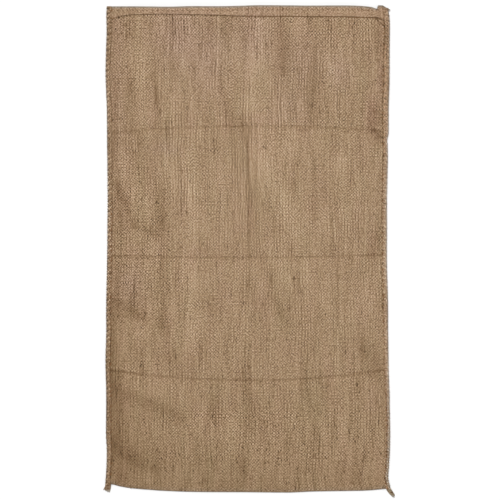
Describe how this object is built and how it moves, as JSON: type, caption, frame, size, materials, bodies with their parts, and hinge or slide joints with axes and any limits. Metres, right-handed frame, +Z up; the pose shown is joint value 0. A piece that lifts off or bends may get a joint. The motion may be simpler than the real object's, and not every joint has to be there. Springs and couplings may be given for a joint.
{
  "type": "jute sack",
  "caption": "Empty jute sack lying flat: plain hessian folded at the bottom and hemmed at the mouth, with overcast side seams that end in short twine tails.",
  "frame": {"origin": "the middle of the back, on the surface that the sack lies on", "axes": "+Y along the sack, from the bottom fold to the mouth; +Z up through its thickness; +X across it, to the right with the front up and the mouth away"},
  "size_m": [0.664, 1.1276, 0.014],
  "materials": {
    "hessian": "coarse plain-woven jute, matt, golden brown",
    "seam_twine": "twisted jute twine, matt, a little redder and darker than the cloth",
    "tail_twine": "frayed jute twine, matt, greyish brown"
  },
  "bodies": {
    "root": {"sack_cloth": "hessian", "side_seam_left": "seam_twine", "side_seam_right": "seam_twine", "seam_tail_left": "tail_twine", "seam_tail_right": "tail_twine"}
  },
  "joints": []
}
